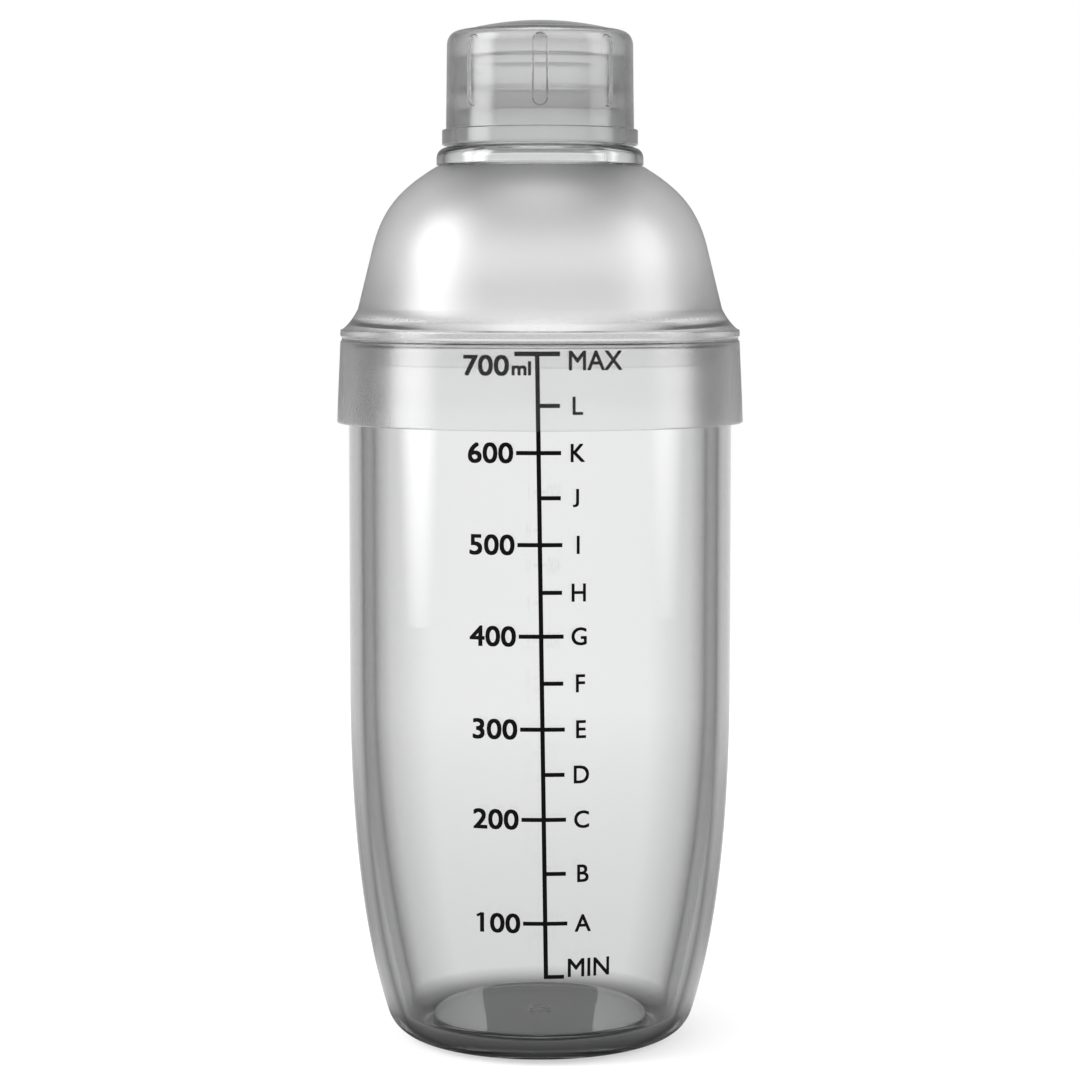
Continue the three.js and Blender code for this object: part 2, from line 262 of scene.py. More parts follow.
# Printed volume scale
# Black screen ink on the outside of the cup's front, a hair thick and slightly askew: one upright line with
# a long tick and a number every 100 ml, short ticks between them, and index letters on the right.
INK_LIFT = 0.015
INK_THICK = 0.03
LINE_WIDTH = 0.95
LINE_TOP_Z = 156.2
LINE_FOOT_Z = 20.9
LINE_TOP_SIDE = -0.6
LINE_FOOT_SIDE = 1.3
TICK_WIDTH = 0.9
TOP_TICK_WIDTH = 1.0
LONG_TICK = 9.6
SHORT_TICK = 4.6
FOOT_TICK = 4.4
NUMBER_HEIGHT = 4.5
NUMBER_BOLD = 0.26
NUMBER_STRETCH = 1.18
NUMBER_GAP = 0.5
LETTER_HEIGHT = 3.9
LETTER_BOLD = 0.15
LETTER_SIDE = 8.2
CAPITAL_SHARE = 0.73
ONE_STEM = 9.0
ONE_FLAG = 0.6
ONE_FLAG_ENDS = ((0.3, -0.3), (-0.75, -0.85))
UNIT_HEIGHT = 3.0
END_WORD_HEIGHT = 4.2
END_WORD_SIDE = 5.7
TOP_NUMBER_PLACE = (-6.4, 153.35)
UNIT_PLACE = (-1.7, 152.75)
END_WORDS = [("MAX", 154.4), ("MIN", 22.9)]
INK_CUT = 1.5
INK_WELD = 0.002
PRINT_HALF_WIDTH = 17
PRINT_HEIGHTS = (18, 160)
TOP_MARK_Z = 155.8
LONG_MARKS = [
    ("600", "K", 134.8), ("500", "I", 115.2), ("400", "G", 95.6),
    ("300", "E", 75.6), ("200", "C", 56.0), ("100", "A", 33.0),
]
SHORT_MARKS = [("L", 144.8), ("J", 125.2), ("H", 105.0), ("F", 85.5), ("D", 65.8), ("B", 44.1)]


def line_side(z):
    """How far right of the cup's middle the leaning line is at a height."""
    return float(np.interp(z, (LINE_FOOT_Z, LINE_TOP_Z), (LINE_FOOT_SIDE, LINE_TOP_SIDE)))


def number_end(z):
    """How far right of the cup's middle the number beside a long tick ends."""
    return line_side(z) - LONG_TICK / 2 - NUMBER_GAP


def begin_tree(name, sizes, material):
    """A geometry tree that takes a mesh, its named sizes and a material, with those inputs."""
    tree = bpy.data.node_groups.new(name, "GeometryNodeTree")
    tree.interface.new_socket("Geometry", in_out="OUTPUT", socket_type="NodeSocketGeometry")
    tree.interface.new_socket("Geometry", in_out="INPUT", socket_type="NodeSocketGeometry")
    for size in sizes:
        tree.interface.new_socket(size, in_out="INPUT", socket_type="NodeSocketFloat")
    tree.interface.new_socket(material, in_out="INPUT", socket_type="NodeSocketMaterial")
    return tree, add(tree, "NodeGroupInput").outputs


def end_tree(tree, geometry, material):
    """Makes a tree's result real, gives it its material and hands it out."""
    real = add(tree, "GeometryNodeRealizeInstances", {"Geometry": geometry}).outputs[0]
    dressed = add(tree, "GeometryNodeSetMaterial", {"Geometry": real, "Material": material}).outputs[0]
    add(tree, "NodeGroupOutput", {0: dressed})
    return tree


def bold_tree():
    """Spreads a word over the corners of a small square and fuses the copies, so that its strokes are
    heavier."""
    tree, given = begin_tree("bold_print", ("Spread",), "Ink")
    square = add(tree, "GeometryNodeMeshGrid", {
        "Size X": given["Spread"], "Size Y": given["Spread"], "Vertices X": 2, "Vertices Y": 2}).outputs[0]
    copies = add(tree, "GeometryNodeInstanceOnPoints", {
        "Points": square, "Instance": given["Geometry"]}).outputs[0]
    real = add(tree, "GeometryNodeRealizeInstances", {"Geometry": copies}).outputs[0]
    fused = add(tree, "GeometryNodeMeshBoolean", {
        "Mesh 2": real, "Self Intersection": True}, operation="UNION", solver="EXACT").outputs[0]
    return end_tree(tree, fused, given["Ink"])


def flat_word(words, height, side, z, align, bold, stretch=1.0):
    """A word as a thin flat solid in mm, of a set height: x to the right, y up the cup and z out of it."""
    text = bpy.data.curves.new("printed_word", "FONT")
    text.body = words
    text.size = (height - bold) / CAPITAL_SHARE
    text.resolution_u = 4
    text.extrude = INK_THICK / 2
    text.align_x = align
    holder = bpy.data.objects.new("printed_word", text)
    bpy.context.scene.collection.objects.link(holder)
    graph = bpy.context.evaluated_depsgraph_get()
    mesh = bpy.data.meshes.new_from_object(holder.evaluated_get(graph))
    bpy.data.objects.remove(holder)
    for vertex in mesh.vertices:
        vertex.co.x *= stretch
    mesh = grown("bold_word", mesh, bold_print, {"Spread": bold, "Ink": ink})
    levels = [vertex.co.y for vertex in mesh.vertices]
    for vertex in mesh.vertices:
        x, y, out = vertex.co
        up = (y - min(levels)) / (max(levels) - min(levels))
        vertex.co = (side + x, z + (up - 0.5) * height, out)
    return mesh


def bar(start, end, width):
    """A straight stroke between two points, as a thin flat solid in mm."""
    start, end = np.array(start), np.array(end)
    along = (end - start) / np.linalg.norm(end - start)
    across = np.array((along[1], -along[0])) * width / 2
    corners = [
        (*(point + way * across), out * INK_THICK / 2)
        for out in (-1, 1) for point in (start, end) for way in (-1, 1)
    ]
    sides = [(0, 2, 3, 1), (4, 5, 7, 6), (0, 1, 5, 4), (2, 6, 7, 3), (0, 4, 6, 2), (1, 3, 7, 5)]
    mesh = bpy.data.meshes.new("stroke")
    mesh.from_pydata(corners, [], sides)
    return mesh


def tick_tree():
    """One bar of ink for each point, as long and as wide as the point says."""
    tree, given = begin_tree("scale_ticks", ("Ink Thickness",), "Ink")
    length = add(tree, "GeometryNodeInputNamedAttribute", {"Name": "length"}, data_type="FLOAT").outputs[0]
    width = add(tree, "GeometryNodeInputNamedAttribute", {"Name": "width"}, data_type="FLOAT").outputs[0]
    size = add(tree, "ShaderNodeCombineXYZ", {0: length, 1: width, 2: given["Ink Thickness"]}).outputs[0]
    block = add(tree, "GeometryNodeMeshCube", {"Size": (1, 1, 1)}).outputs[0]
    blocks = add(tree, "GeometryNodeInstanceOnPoints", {
        "Points": given["Geometry"], "Instance": block, "Scale": size}).outputs[0]
    return end_tree(tree, blocks, given["Ink"])


def grown(name, mesh, tree, sizes):
    """The plain mesh that a geometry tree makes of a mesh, once its named inputs are set."""
    holder = bpy.data.objects.new(name, mesh)
    bpy.context.scene.collection.objects.link(holder)
    modifier = holder.modifiers.new(name, "NODES")
    modifier.node_group = tree
    for item in tree.interface.items_tree:
        if item.in_out == "INPUT" and item.name in sizes:
            modifier[item.identifier] = sizes[item.name]
    graph = bpy.context.evaluated_depsgraph_get()
    made = bpy.data.meshes.new_from_object(holder.evaluated_get(graph))
    bpy.data.objects.remove(holder)
    made.name = name
    return made


def screen_ink():
    """Black two-part screen ink: nearly matt, with a faint mottle where the screen's mesh let it through."""
    mottle_size = 0.8 * MM
    material, tree = blank_material("black_screen_ink")
    place = add(tree, "ShaderNodeTexCoord").outputs["Object"]
    mottle = add(tree, "ShaderNodeTexNoise", {"Vector": place, "Scale": 1 / mottle_size, "Detail": 3.0})
    shade = add(tree, "ShaderNodeValToRGB", {"Fac": mottle.outputs[0]})
    shade.color_ramp.elements[0].color = linear("#030303")
    shade.color_ramp.elements[1].color = linear("#0b0b0b")
    gloss = add(tree, "ShaderNodeMapRange", {"Value": mottle.outputs[0], 3: 0.4, 4: 0.55})
    bump = add(tree, "ShaderNodeBump", {"Height": mottle.outputs[0], "Distance": 0.01 * MM})
    surface = add(tree, "ShaderNodeBsdfPrincipled", {
        "Base Color": shade.outputs[0], "Roughness": gloss.outputs[0], "Specular IOR Level": 0.06,
        "Normal": bump.outputs[0]})
    add(tree, "ShaderNodeOutputMaterial", {"Surface": surface.outputs[0]})
    return material


def index_letter(letter, z):
    """One index letter on the right of the line."""
    return flat_word(letter, LETTER_HEIGHT, line_side(z) + LETTER_SIDE, z, "CENTER", LETTER_BOLD)


ink = screen_ink()
bold_print = bold_tree()
ticks = [(line_side(z), z, LONG_TICK, TICK_WIDTH) for _, _, z in LONG_MARKS]
ticks.append((line_side(LINE_TOP_Z), TOP_MARK_Z, LONG_TICK, TOP_TICK_WIDTH))
ticks += [(line_side(z) + SHORT_TICK / 2, z, SHORT_TICK, TICK_WIDTH) for _, z in SHORT_MARKS]
ticks.append((LINE_FOOT_SIDE + FOOT_TICK / 2 - LINE_WIDTH / 2, LINE_FOOT_Z, FOOT_TICK, TICK_WIDTH))
tick_points = bpy.data.meshes.new("tick_points")
tick_points.from_pydata([(side, z, 0) for side, z, _, _ in ticks], [], [])
for k, name in ((2, "length"), (3, "width")):
    tick_points.attributes.new(name, "FLOAT", "POINT").data.foreach_set("value", [tick[k] for tick in ticks])
printed = [grown("scale_ticks", tick_points, tick_tree(), {"Ink Thickness": INK_THICK, "Ink": ink})]

printed.append(bar((LINE_FOOT_SIDE, LINE_FOOT_Z - TICK_WIDTH / 2), (LINE_TOP_SIDE, LINE_TOP_Z), LINE_WIDTH))

for number, letter, z in LONG_MARKS:
    printed.append(flat_word(number, NUMBER_HEIGHT, number_end(z), z, "RIGHT", NUMBER_BOLD, NUMBER_STRETCH))
    printed.append(index_letter(letter, z))
for letter, z in SHORT_MARKS:
    printed.append(index_letter(letter, z))
lowest_z = LONG_MARKS[-1][2]
one_top = np.array((number_end(lowest_z) - ONE_STEM, lowest_z + NUMBER_HEIGHT / 2))
printed.append(bar(one_top + ONE_FLAG_ENDS[0], one_top + ONE_FLAG_ENDS[1], ONE_FLAG))
printed.append(flat_word("700", NUMBER_HEIGHT, *TOP_NUMBER_PLACE, "RIGHT", NUMBER_BOLD, NUMBER_STRETCH))
printed.append(flat_word("ml", UNIT_HEIGHT, *UNIT_PLACE, "RIGHT", NUMBER_BOLD, NUMBER_STRETCH))
for word, z in END_WORDS:
    printed.append(flat_word(word, END_WORD_HEIGHT, END_WORD_SIDE, z, "LEFT", LETTER_BOLD))

sheet = bmesh.new()
for mesh in printed:
    sheet.from_mesh(mesh)
bmesh.ops.remove_doubles(sheet, verts=sheet.verts, dist=INK_WELD)
cuts = [((1, 0, 0), side) for side in np.arange(-PRINT_HALF_WIDTH, PRINT_HALF_WIDTH, INK_CUT)]
cuts += [((0, 1, 0), z) for z in np.arange(*PRINT_HEIGHTS, 2 * INK_CUT)]
for normal, place in cuts:
    parts = sheet.verts[:] + sheet.edges[:] + sheet.faces[:]
    spot = [n * float(place) for n in normal]
    bmesh.ops.bisect_plane(sheet, geom=parts, plane_co=spot, plane_no=normal)
wall_r, wall_z = np.array([*cup_outside, (CUP_R, CUP_RIM_Z)]).T
for vertex in sheet.verts:
    side, z, out = vertex.co
    wall = np.interp(z, wall_z, wall_r)
    turn = side / wall
    radius = wall + INK_LIFT + INK_THICK / 2 + out
    vertex.co = (radius * MM * math.sin(turn), -radius * MM * math.cos(turn), z * MM)
bmesh.ops.recalc_face_normals(sheet, faces=sheet.faces)
scale_mesh = bpy.data.meshes.new("printed_scale")
sheet.to_mesh(scale_mesh)
sheet.free()
scale = placed(scale_mesh, ink)
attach(scale, "cup")


# Lid seal
# A flat ring of translucent silicone, cut from a moulded sheet and pressed into the lid's rim groove, where
# it closes on the cup's rim. Only a faint pale line of it shows through the skirt.
LID_SEAL_BORE_R = 40.1
SEAL_ROUND = 0.3
SEAL_TURNS = 192


def translucent_silicone():
    """Milky moulded silicone: soft, satin and slightly see-through, with a fine talc-like mottle."""
    mottle_size = 0.5 * MM
    material, tree = blank_material("translucent_silicone")
    place = add(tree, "ShaderNodeTexCoord").outputs["Object"]
    mottle = add(tree, "ShaderNodeTexNoise", {"Vector": place, "Scale": 1 / mottle_size, "Detail": 3.0})
    satin = add(tree, "ShaderNodeMapRange", {"Value": mottle.outputs[0], 3: 0.36, 4: 0.52})
    bump = add(tree, "ShaderNodeBump", {"Height": mottle.outputs[0], "Distance": 0.02 * MM})
    surface = add(tree, "ShaderNodeBsdfPrincipled", {
        "Base Color": linear("#f8f8f7"), "Roughness": satin.outputs[0], "IOR": 1.41,
        "Transmission Weight": 0.6, "Normal": bump.outputs[0]})
    add(tree, "ShaderNodeOutputMaterial", {"Surface": surface.outputs[0]})
    return material


def soft_ring(name, node, bore_r, rounding):
    """A silicone ring with its own bore, as wide and as high as its solid, and with its corners rounded."""
    low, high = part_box(node)
    outer_r, foot_z, top_z = high.x / MM, low.z / MM, high.z / MM
    corners = [(bore_r, foot_z), (outer_r, foot_z), (outer_r, top_z), (bore_r, top_z)]
    outline = soften([(*corner, rounding) for corner in corners])
    return placed(turned(name, outline, even_turns(SEAL_TURNS)), silicone)


silicone = translucent_silicone()
lid_seal = soft_ring("lid_rim_seal", "lid_seal", LID_SEAL_BORE_R, SEAL_ROUND)
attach(lid_seal, "lid_ring")
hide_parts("lid_seal")


# Dome lid
# One moulding in clear polycarbonate with a spark-eroded satin outside, so that it reads as frosted grey.
# Its skirt sleeves over the cup, a plug inside centres it, and a sleeve under the crown takes the spout.
lid_low, lid_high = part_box("dome_lid")
LID_TURNS = 256
SKIRT_FOOT_R = lid_high.x / MM
SKIRT_FOOT_Z = lid_low.z / MM
CROWN_Z = lid_high.z / MM
SKIRT_TOP_R = 44.9
SKIRT_TOP_Z = 160.3
SKIRT_BORE_R = 43.45
SKIRT_LINE_Z = 158.3
SKIRT_LINE_DEPTH = 0.3
SKIRT_FILLET_PULL = (42.2, 162.2)
CONE_FOOT = (40.9, 165.1)
CONE_TOP = (37.7, 178.1)
SHOULDER_PULL = (34.9, 189.6)
SHOULDER_FULLNESS = 0.75
CROWN_R = 23.4
SLEEVE_BORE_R = 19.1
SLEEVE_WALL = 1.6
SLEEVE_FOOT_Z = 188
DOME_WALL = 2
RIM_GROOVE_Z = 158.6
PLUG_R = 39.8
PLUG_BORE_R = 38.1
PLUG_FOOT_Z = 152.5
# Painted shade by slant on the frosted lid, as slant and grey level.
FROSTED_EDGE_SHADE = ((0.3, 0.98), (0.6, 0.85), (0.85, 0.58), (1.0, 0.2))
FROSTED_ABSORPTION = 12


def frosted_polycarbonate():
    """Satin polycarbonate: the eroded texture, a grain of about 0.3 mm, scatters the light that passes, so
    that the dome glows grey and hides what is inside. The skirt is finer, and shows the print behind it.
    Painted shade by slant darkens it towards its outline, more deeply on the skirt, and its reflections are
    painted dimmer on the skirt."""
    grain = 0.32 * MM
    material, tree = blank_material("frosted_polycarbonate")
    place = add(tree, "ShaderNodeTexCoord").outputs["Object"]
    height = add(tree, "ShaderNodeSeparateXYZ", {0: place}).outputs["Z"]
    skirt_to_dome = {"Value": height, 1: SKIRT_TOP_Z * MM, 2: CONE_FOOT[1] * MM}
    satin = add(tree, "ShaderNodeMapRange", {**skirt_to_dome, 3: 0.16, 4: 0.36})
    grit = add(tree, "ShaderNodeMapRange", {**skirt_to_dome, 3: 0.03, 4: 1.0})
    pits = add(tree, "ShaderNodeTexNoise", {"Vector": place, "Scale": 1 / grain, "Detail": 2.0})
    uneven = add(tree, "ShaderNodeMapRange", {"Value": pits.outputs[0], 3: -0.05, 4: 0.05})
    rough = add(tree, "ShaderNodeMath", {0: satin.outputs[0], 1: uneven.outputs[0]}, operation="ADD")
    bump = add(tree, "ShaderNodeBump", {
        "Height": pits.outputs[0], "Distance": 0.02 * MM, "Strength": grit.outputs[0]})
    # Painted shade by slant, made deeper on the skirt by a gamma, and reflections painted dimmer on the
    # skirt.
    rim = painted_edge_shade(tree, FROSTED_EDGE_SHADE)
    edge_shade_deepening = add(tree, "ShaderNodeMapRange", {**skirt_to_dome, 3: 2.0, 4: 0.95})
    edge_shade = add(tree, "ShaderNodeGamma", {0: rim, 1: edge_shade_deepening.outputs[0]})
    reflection_dimming = add(tree, "ShaderNodeMapRange", {**skirt_to_dome, 3: 0.45, 4: 1.0})
    surface = add(tree, "ShaderNodeBsdfPrincipled", {
        "Base Color": edge_shade.outputs[0], "Roughness": rough.outputs[0], "IOR": POLYCARBONATE_IOR,
        "Specular Tint": reflection_dimming.outputs[0], "Transmission Weight": 1.0, "Normal": bump.outputs[0]})
    depth = add(tree, "ShaderNodeVolumeAbsorption", {
        "Color": linear(POLYCARBONATE_CAST), "Density": FROSTED_ABSORPTION})
    add(tree, "ShaderNodeOutputMaterial", {"Surface": surface.outputs[0], "Volume": depth.outputs[0]})
    return material


def towards_pull(point):
    """A pull point of the shoulder, most of the way from one of its ends to where both lines meet."""
    return tuple(v + SHOULDER_FULLNESS * (pull - v) for v, pull in zip(point, SHOULDER_PULL))


def inside(point):
    """The point of the dome's inner wall that lies behind one of its outer wall."""
    return point[0] - DOME_WALL, point[1] - DOME_WALL / 2


crown = (CROWN_R, CROWN_Z)
skirt_line_r = SKIRT_TOP_R - SKIRT_LINE_DEPTH
shoulder = bezier([CONE_TOP, towards_pull(CONE_TOP), towards_pull(crown), crown], steps=48)
inner_top = (SLEEVE_BORE_R + SLEEVE_WALL, CROWN_Z - DOME_WALL)
lid_outline = soften([
    (SKIRT_BORE_R, SKIRT_FOOT_Z, EDGE_ROUND),
    (SKIRT_FOOT_R, SKIRT_FOOT_Z, EDGE_ROUND),
    (SKIRT_TOP_R, SKIRT_LINE_Z - 2 * SKIRT_LINE_DEPTH, SKIRT_LINE_DEPTH / 2),
    (skirt_line_r, SKIRT_LINE_Z - SKIRT_LINE_DEPTH, SKIRT_LINE_DEPTH / 2),
    (skirt_line_r, SKIRT_LINE_Z + SKIRT_LINE_DEPTH, SKIRT_LINE_DEPTH / 2),
    (SKIRT_TOP_R, SKIRT_LINE_Z + 2 * SKIRT_LINE_DEPTH, SKIRT_LINE_DEPTH / 2),
    (SKIRT_TOP_R, SKIRT_TOP_Z, EDGE_ROUND),
    *bezier([(SKIRT_TOP_R - EDGE_ROUND, SKIRT_TOP_Z), SKIRT_FILLET_PULL, CONE_FOOT], steps=20)[1:],
    *shoulder,
    (SLEEVE_BORE_R, CROWN_Z, EDGE_ROUND),
    (SLEEVE_BORE_R, SLEEVE_FOOT_Z, EDGE_ROUND),
    (SLEEVE_BORE_R + SLEEVE_WALL, SLEEVE_FOOT_Z, EDGE_ROUND),
    *bezier([inner_top, inside(SHOULDER_PULL), inside(CONE_TOP)], steps=32),
    inside(CONE_FOOT),
    (PLUG_BORE_R, RIM_GROOVE_Z + DOME_WALL, EDGE_ROUND),
    (PLUG_BORE_R, PLUG_FOOT_Z, EDGE_ROUND),
    (PLUG_R, PLUG_FOOT_Z, EDGE_ROUND),
    (PLUG_R, RIM_GROOVE_Z, EDGE_ROUND / 2),
    (SKIRT_BORE_R, RIM_GROOVE_Z, EDGE_ROUND / 2),
])
lid = placed(turned("frosted_dome_lid", lid_outline, even_turns(LID_TURNS)), frosted_polycarbonate())
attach(lid, "lid")
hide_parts("dome_lid")


# Spout seal
# A moulded silicone ring stretched into the groove round the spout's plug, where it grips the lid's sleeve.
SEAL_GROOVE_BORE_R = 17.7
PLUG_SEAL_ROUND = 3 * SEAL_ROUND
spout_seal = soft_ring("spout_plug_seal", "spout_seal", SEAL_GROOVE_BORE_R, PLUG_SEAL_ROUND)
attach(spout_seal, "spout_ring")
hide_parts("spout_seal")


# Pouring spout
# One clear polycarbonate moulding: a plug with a rebate in its foot, a round collar that sits on the dome's
# crown, and a pouring neck with a beaded lip. It pushes into the lid's sleeve.
spout_low, spout_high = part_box("pour_spout")
plate_low, plate_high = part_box("strainer_plate")
SPOUT_TURNS = 192
SEAT_GAP = 0.3
NECK_R = 18.7
NECK_BORE_R = 16.2
NECK_TOP_Z = spout_high.z / MM
WAIST_R = 17.9
LIP_R = 18.6
LIP_FOOT_Z = 218.2
LIP_SIDE = 0.8
COLLAR_R = spout_high.x / MM
COLLAR_SEAT_Z = CROWN_Z + SEAT_GAP
COLLAR_SHOULDER_Z = 198.4
COLLAR_TOP = (19.8, 201.1)
PLUG_END_Z = spout_low.z / MM
REBATE_R = plate_high.x / MM + SEAT_GAP
REBATE_Z = plate_high.z / MM + SEAT_GAP
SEAL_GROOVE_R = 17.4
SPOUT_GROOVE = (190.5, 193.7)
CAP_GROOVE = (208.6, 212.9)
# The fittings' reflections are painted dimmer on the neck inside the cap: full up to 200.5 mm, a quarter
# from 202.5 mm.
FITTINGS_DIMMED_REFLECTION_FROM = (200.5, 1.0)
FITTINGS_DIMMED_REFLECTION_TO = (202.5, 0.25)

fittings_plastic = clear_polycarbonate(
    "clear_polycarbonate_fittings", FITTINGS_DIMMED_REFLECTION_FROM, FITTINGS_DIMMED_REFLECTION_TO)
lip_half = (NECK_TOP_Z - LIP_FOOT_Z) / 2
lip_end = (LIP_R - lip_half, NECK_TOP_Z)
spout_outline = soften([
    (REBATE_R, PLUG_END_Z, EDGE_ROUND),
    (NECK_R, PLUG_END_Z, EDGE_ROUND),
    (NECK_R, SPOUT_GROOVE[0], EDGE_ROUND / 2),
    (SEAL_GROOVE_R, SPOUT_GROOVE[0], EDGE_ROUND / 2),
    (SEAL_GROOVE_R, SPOUT_GROOVE[1], EDGE_ROUND / 2),
    (NECK_R, SPOUT_GROOVE[1], EDGE_ROUND / 2),
    (NECK_R, COLLAR_SEAT_Z, EDGE_ROUND / 2),
    (COLLAR_R, COLLAR_SEAT_Z, EDGE_ROUND),
    *bezier([(COLLAR_R, COLLAR_SHOULDER_Z), (COLLAR_R, COLLAR_TOP[1]), COLLAR_TOP], steps=20),
    (NECK_R, COLLAR_TOP[1], EDGE_ROUND),
    (NECK_R, CAP_GROOVE[0], EDGE_ROUND / 2),
    (SEAL_GROOVE_R, CAP_GROOVE[0], EDGE_ROUND / 2),
    (SEAL_GROOVE_R, CAP_GROOVE[1], EDGE_ROUND / 2),
    (NECK_R, CAP_GROOVE[1], EDGE_ROUND / 2),
    (WAIST_R, CAP_GROOVE[1] + 3 * EDGE_ROUND, EDGE_ROUND),
    (WAIST_R, LIP_FOOT_Z - EDGE_ROUND, EDGE_ROUND),
    (LIP_R, LIP_FOOT_Z + EDGE_ROUND, EDGE_ROUND),
    *bezier([(LIP_R, LIP_FOOT_Z + LIP_SIDE), (LIP_R, NECK_TOP_Z), lip_end], steps=16),
    (NECK_BORE_R, NECK_TOP_Z, 2 * EDGE_ROUND),
    (NECK_BORE_R, REBATE_Z, EDGE_ROUND / 2),
    (REBATE_R, REBATE_Z, EDGE_ROUND / 2),
])
spout = placed(turned("clear_pour_spout", spout_outline, even_turns(SPOUT_TURNS)), fittings_plastic)
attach(spout, "spout")
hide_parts("pour_spout")


# Strainer plate
# A clear polycarbonate disc that holds the ice back, with nineteen round holes moulded through it. It is
# pressed up into the rebate in the spout's foot.
STRAINER_R = plate_high.x / MM
STRAINER_FOOT_Z = plate_low.z / MM
STRAINER_TOP_Z = plate_high.z / MM
STRAINER_HOLE_R = 1.8
STRAINER_RING_STEP = 5.5
INNER_HOLES = 6
OUTER_HOLES = 12
HOLE_SIDES = 40
DRILL_PLATES = 4.0


def strainer_tree():
    """Cuts a middle hole and two rings of holes, one step and two steps out, through a plate at a height."""
    sizes = ("Hole Radius", "Ring Step", "Plate Height", "Plate Thickness")
    tree, given = begin_tree("strainer_holes", sizes, "Plastic")
    outer_radius = add(tree, "ShaderNodeMath", {
        0: given["Ring Step"], 1: 2.0}, operation="MULTIPLY").outputs[0]
    middle = add(tree, "GeometryNodeMeshLine", {"Count": 1}).outputs[0]
    inner = add(tree, "GeometryNodeMeshCircle", {
        "Vertices": INNER_HOLES, "Radius": given["Ring Step"]}).outputs[0]
    outer = add(tree, "GeometryNodeMeshCircle", {"Vertices": OUTER_HOLES, "Radius": outer_radius}).outputs[0]
    spots = add(tree, "GeometryNodeJoinGeometry")
    for ring in (middle, inner, outer):
        tree.links.new(ring, spots.inputs[0])
    lift = add(tree, "ShaderNodeCombineXYZ", {2: given["Plate Height"]}).outputs[0]
    raised = add(tree, "GeometryNodeTransform", {
        "Geometry": spots.outputs[0], "Translation": lift}).outputs[0]
    depth = add(tree, "ShaderNodeMath", {
        0: given["Plate Thickness"], 1: DRILL_PLATES}, operation="MULTIPLY").outputs[0]
    drill = add(tree, "GeometryNodeMeshCylinder", {
        "Vertices": HOLE_SIDES, "Radius": given["Hole Radius"], "Depth": depth}).outputs[0]
    drills = add(tree, "GeometryNodeInstanceOnPoints", {"Points": raised, "Instance": drill}).outputs[0]
    solid_drills = add(tree, "GeometryNodeRealizeInstances", {"Geometry": drills}).outputs[0]
    cut = add(tree, "GeometryNodeMeshBoolean", {
        "Mesh 1": given["Geometry"], "Mesh 2": solid_drills},
        operation="DIFFERENCE", solver="EXACT").outputs[0]
    return end_tree(tree, cut, given["Plastic"])


plate_outline = soften([
    (0, STRAINER_FOOT_Z),
    (STRAINER_R, STRAINER_FOOT_Z, EDGE_ROUND),
    (STRAINER_R, STRAINER_TOP_Z, EDGE_ROUND),
    (0, STRAINER_TOP_Z),
])
plate_mesh = grown(
    "clear_strainer_plate", turned("plate_blank", plate_outline, even_turns(SPOUT_TURNS)), strainer_tree(), {
        "Hole Radius": STRAINER_HOLE_R * MM, "Ring Step": STRAINER_RING_STEP * MM,
        "Plate Height": (STRAINER_FOOT_Z + STRAINER_TOP_Z) / 2 * MM,
        "Plate Thickness": (STRAINER_TOP_Z - STRAINER_FOOT_Z) * MM, "Plastic": fittings_plastic})
plate = placed(plate_mesh, fittings_plastic)
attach(plate, "spout")
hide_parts("strainer_plate")


# Cap seal
# A wider silicone ring in the groove round the neck. It shows through the cap as a level pale band.
cap_seal = soft_ring("cap_band_seal", "cap_seal", SEAL_GROOVE_BORE_R, PLUG_SEAL_ROUND)
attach(cap_seal, "cap_ring")
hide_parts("cap_seal")


# Pouring cap
# A clear polycarbonate cup with a domed top, a small flange at its mouth and eight grip recesses, each a
# long shallow pocket with round ends. It pushes down over the neck and its seal.
cap_low, cap_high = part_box("pour_cap")
CAP_FOOT_Z = cap_low.z / MM
CAP_TOP_Z = cap_high.z / MM
CAP_FOOT_R = 21.06
CAP_TOP_R = 20.85
CAP_BORE_R = 19.1
CAP_CEILING_Z = 225.6
CAP_CORNER = 3.7
CAP_INNER_CORNER = 1.9
CAP_TOP_RISE = 2.2
FLANGE_R = cap_high.x / MM
FLANGE_TOP_Z = 204.9
GRIPS = 8
GRIP_HALF_WIDTH = 1.95
GRIP_DEPTH = 0.75
GRIP_FOOT_Z = 209
GRIP_HEAD_Z = 225.4
GRIP_SIDE = 0.55
GRIP_FIELD = 1.3
GRIP_STEPS = 40
PLAIN_STEPS = 14
CAP_WAVE_HEIGHT = 0.02
CORE_SKIN = (0.2, 0.6)
# Painted shade by slant on the cap, as slant and grey level.
CAP_EDGE_SHADE = ((0.2, 0.98), (0.46, 0.78), (0.6, 0.42), (1.0, 0.3))
CAP_ABSORPTION = 60


